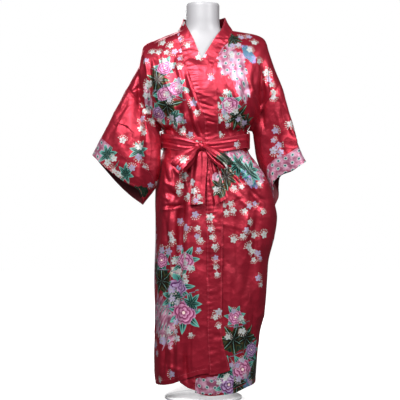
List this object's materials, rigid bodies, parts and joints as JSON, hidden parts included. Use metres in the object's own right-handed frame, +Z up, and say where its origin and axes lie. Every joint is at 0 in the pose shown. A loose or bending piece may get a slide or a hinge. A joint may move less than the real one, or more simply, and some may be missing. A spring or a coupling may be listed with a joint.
{
  "type": "kimono robe on a dress form",
  "caption": "Wrapped satin kimono robe with wide sleeves, cuff bands, a front band and a tied sash, worn by a limbless dress form on a round stand.",
  "frame": {"origin": "centre of the stand's base plate at its underside, on the floor", "axes": "+Z up along the stand's pole to the neck; the robe's front faces -Y and +X is to the right of someone who looks at the front"},
  "size_m": [0.7266, 0.3189, 1.337],
  "materials": {
    "satin_print": "glossy printed satin",
    "satin_cuff": "glossy printed satin",
    "satin_band": "glossy plain satin",
    "satin_sash": "glossy satin",
    "form_shell": "smooth, slightly glossy",
    "stand_metal": "white, satin"
  },
  "bodies": {
    "root": {"back": "satin_print", "front_left": "satin_print", "front_right": "satin_print", "sleeve_left": "satin_print", "sleeve_right": "satin_print", "cuff_left": "satin_cuff", "cuff_right": "satin_cuff", "band_left": "satin_band", "band_right": "satin_band", "belt_waist": "satin_sash", "belt_knot": "satin_sash", "bow_loop_left": "satin_sash", "bow_loop_right": "satin_sash", "belt_tail_left": "satin_sash", "belt_tail_right": "satin_sash", "belt_carrier_left": "satin_print", "belt_carrier_right": "satin_print", "form_torso": "form_shell", "stand_pole": "stand_metal", "stand_base": "stand_metal"}
  },
  "joints": []
}
